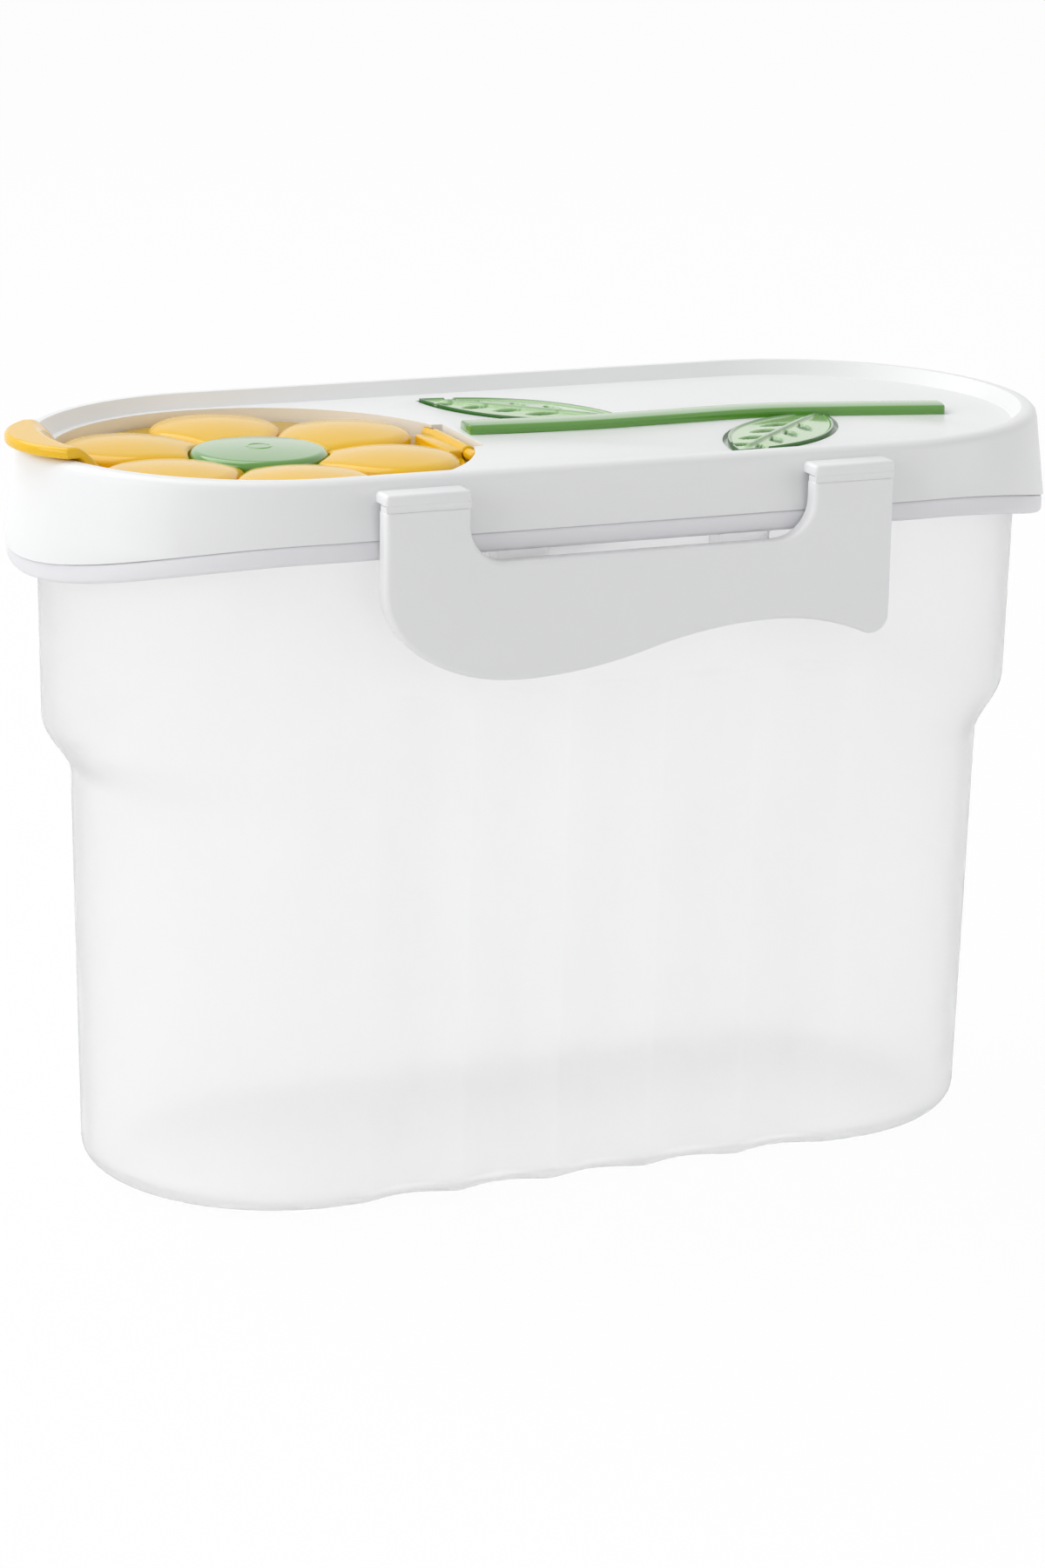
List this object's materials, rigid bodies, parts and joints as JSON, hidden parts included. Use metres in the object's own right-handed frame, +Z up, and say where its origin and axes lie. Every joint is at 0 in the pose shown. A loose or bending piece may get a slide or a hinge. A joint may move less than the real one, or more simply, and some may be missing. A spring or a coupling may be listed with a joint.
{
  "type": "food_storage_container",
  "caption": "Oval translucent food storage tub with a white clip-on lid, side latches and a hinged flower-shaped pour flap with a green stem.",
  "frame": {"origin": "centre of the tub's flat base", "axes": "X along the length with the flap's lifting tab at -X, front latch toward -Y, Z up"},
  "size_m": [0.2022, 0.0976, 0.1393],
  "materials": {
    "clear_pp": "translucent natural polypropylene, smooth",
    "white_pp": "opaque white polypropylene, satin",
    "seal": "soft translucent silicone",
    "amber": "translucent amber plastic, glossy",
    "leaf_green": "opaque green plastic, satin"
  },
  "bodies": {
    "tub": {"tub": "clear_pp"},
    "lid": {"lid": "white_pp", "lid_gasket": "seal", "stem_inlay": "leaf_green", "front_latch_hinge": "white_pp", "rear_latch_hinge": "white_pp"},
    "front_latch": {"front_latch": "white_pp"},
    "rear_latch": {"rear_latch": "white_pp"},
    "pour_flap": {"pour_flap": "amber", "flower_centre": "leaf_green"}
  },
  "joints": [
    {"name": "lid_lift", "type": "slide", "parent": "tub", "child": "lid", "axis": [0, 0, 1], "range_m": [0, 0.098]},
    {"name": "front_latch_swing", "type": "hinge", "parent": "lid", "child": "front_latch", "pos_m": [0, -0.04847, 0.1323], "axis": [-1, 0, 0], "range_deg": [0, 110], "deforming": ["front_latch_hinge"]},
    {"name": "rear_latch_swing", "type": "hinge", "parent": "lid", "child": "rear_latch", "pos_m": [0, 0.04847, 0.1323], "axis": [1, 0, 0], "range_deg": [0, 110], "deforming": ["rear_latch_hinge"]},
    {"name": "pour_flap_swing", "type": "hinge", "parent": "lid", "child": "pour_flap", "pos_m": [-0.0174, 0, 0.1324], "axis": [0, 1, 0], "range_deg": [0, 110]}
  ]
}
